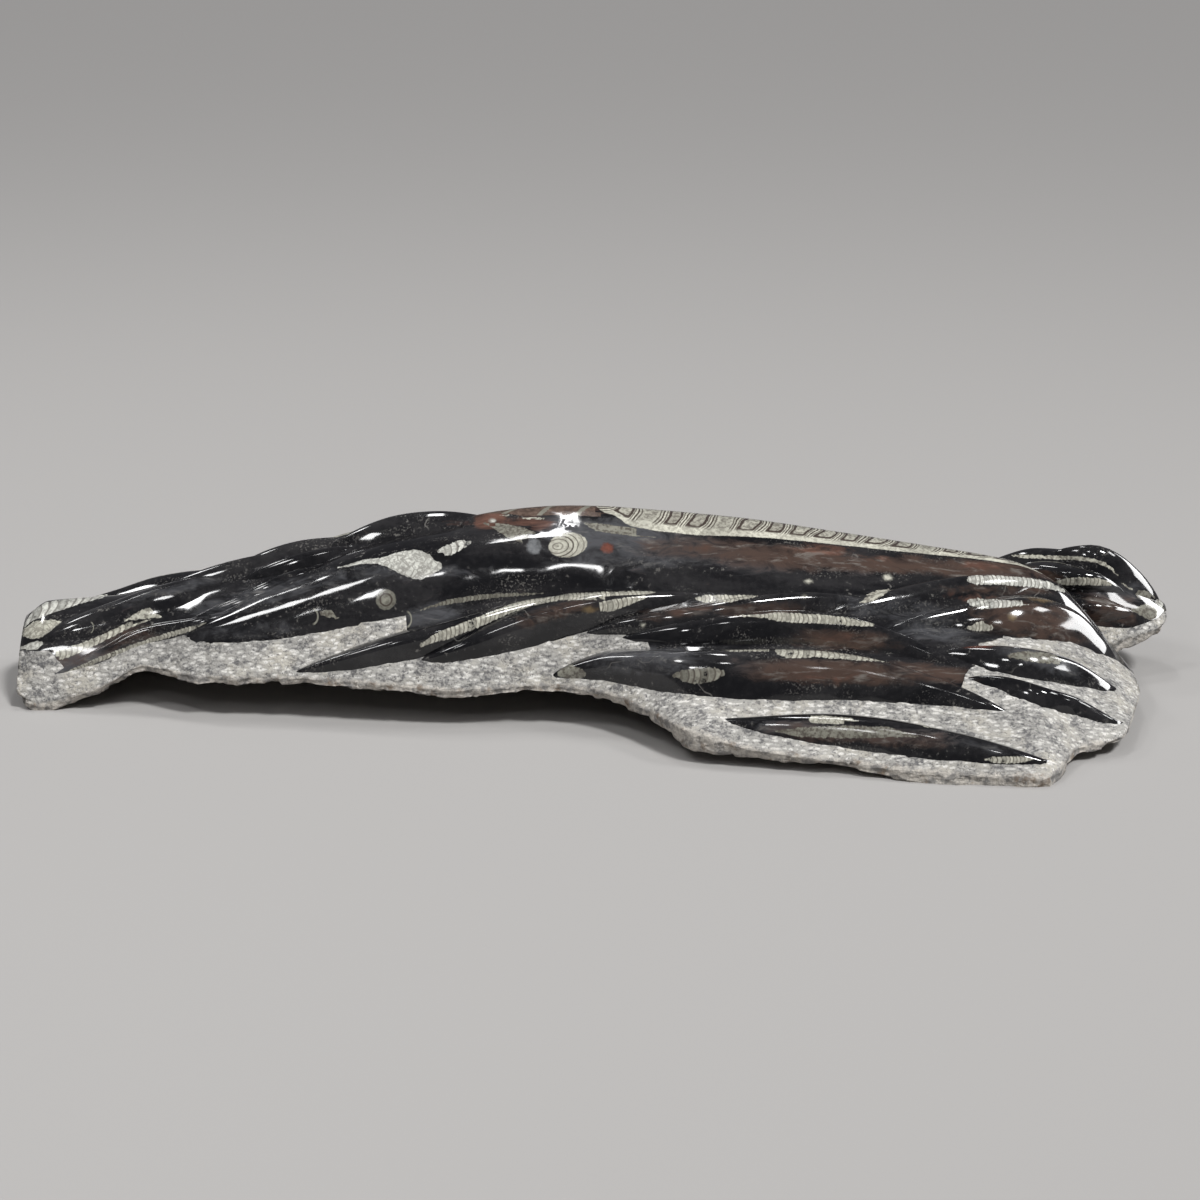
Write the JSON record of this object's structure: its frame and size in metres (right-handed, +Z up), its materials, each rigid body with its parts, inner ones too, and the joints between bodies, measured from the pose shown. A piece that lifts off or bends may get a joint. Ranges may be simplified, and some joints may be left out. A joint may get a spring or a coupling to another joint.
{
  "type": "orthoceras fossil plate",
  "caption": "Long arched slab of dark polished limestone with fossil cones carved in high relief out of a rough pale matrix.",
  "frame": {"origin": "centre of the bounding box at the level of the surface that the stone lies on", "axes": "+X along the slab towards its broad end with the second tongue of rock, +Y away from the long carved front slope, +Z up"},
  "size_m": [0.8, 0.32, 0.128],
  "materials": {
    "fossil_limestone": "polished black cones on rough light-grey matrix"
  },
  "bodies": {
    "root": {"fossil_plate": "fossil_limestone"}
  },
  "joints": []
}
